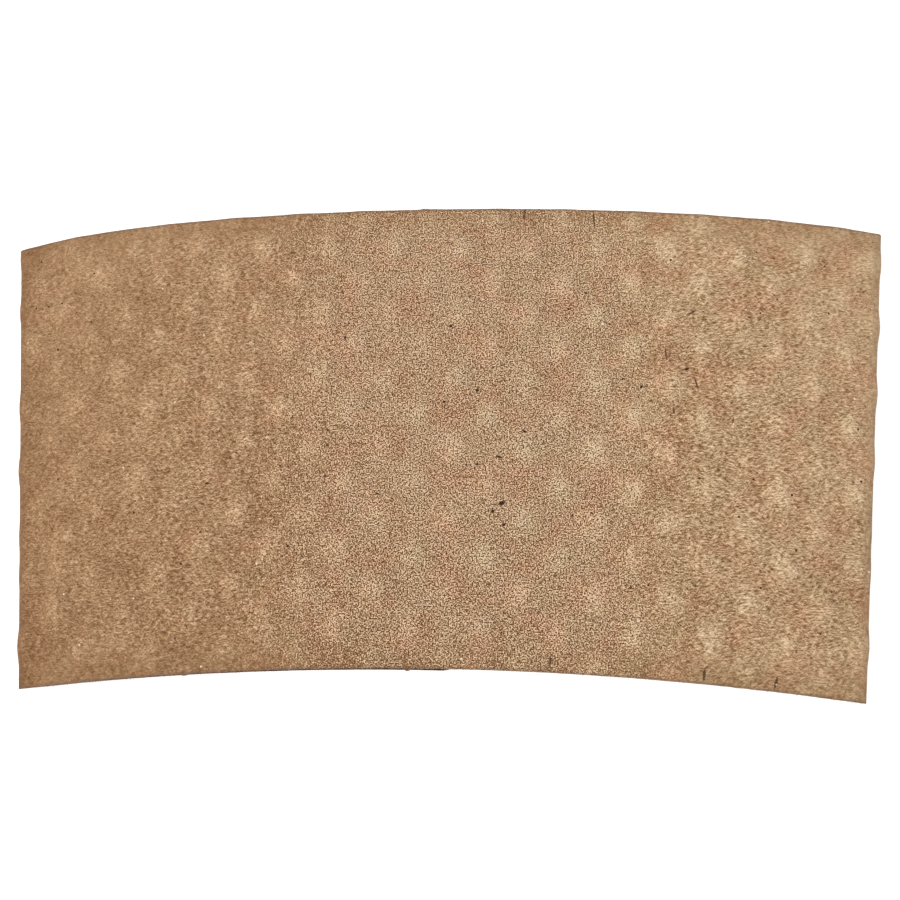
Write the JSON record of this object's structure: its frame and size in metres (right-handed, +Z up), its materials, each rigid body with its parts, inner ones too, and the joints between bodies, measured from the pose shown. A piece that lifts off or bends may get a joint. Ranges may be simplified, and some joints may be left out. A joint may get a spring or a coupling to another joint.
{
  "type": "coffee cup sleeve",
  "caption": "Fan-shaped sleeve of dimpled kraft paperboard for a takeaway cup, folded flat on two creases with a glued lap at the back.",
  "frame": {"origin": "middle of the bounding box, at the plane that the back lies on", "axes": "+X from the left crease to the right crease along the front, +Y from the small rim to the large rim, +Z up out of the front"},
  "size_m": [0.1274, 0.0682, 0.0054],
  "materials": {
    "kraft_board": "matt uncoated kraft paperboard with an embossed dimple pattern"
  },
  "bodies": {
    "root": {"sleeve": "kraft_board"}
  },
  "joints": []
}
